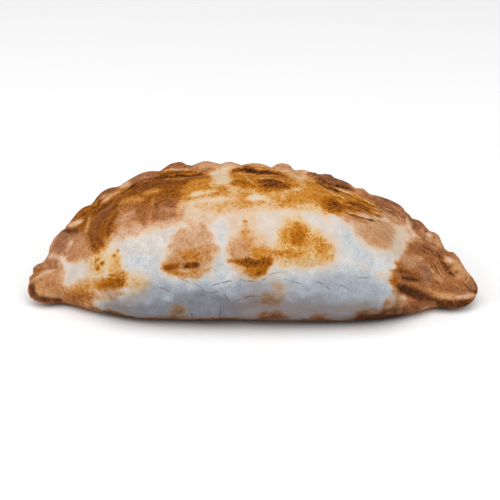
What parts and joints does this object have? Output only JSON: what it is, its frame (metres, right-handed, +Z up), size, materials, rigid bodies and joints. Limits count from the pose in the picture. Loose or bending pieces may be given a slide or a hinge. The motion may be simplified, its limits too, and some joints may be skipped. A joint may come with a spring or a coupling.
{
  "type": "empanada",
  "caption": "Baked half-moon empanada lying on its tray side: plump folded belly in front, a rim of twisted hand-made folds round the back, tucked tips.",
  "frame": {"origin": "on the tray, under the middle of the pastry's bounding box", "axes": "+X along the length from tip to tip, +Y from the folded belly to the rim, +Z up"},
  "size_m": [0.14, 0.0708, 0.0378],
  "materials": {
    "baked_dough": "matt baked wheat dough, pale on the flank, golden to dark brown on top, at the tips and in patches"
  },
  "bodies": {
    "root": {"empanada": "baked_dough"}
  },
  "joints": []
}
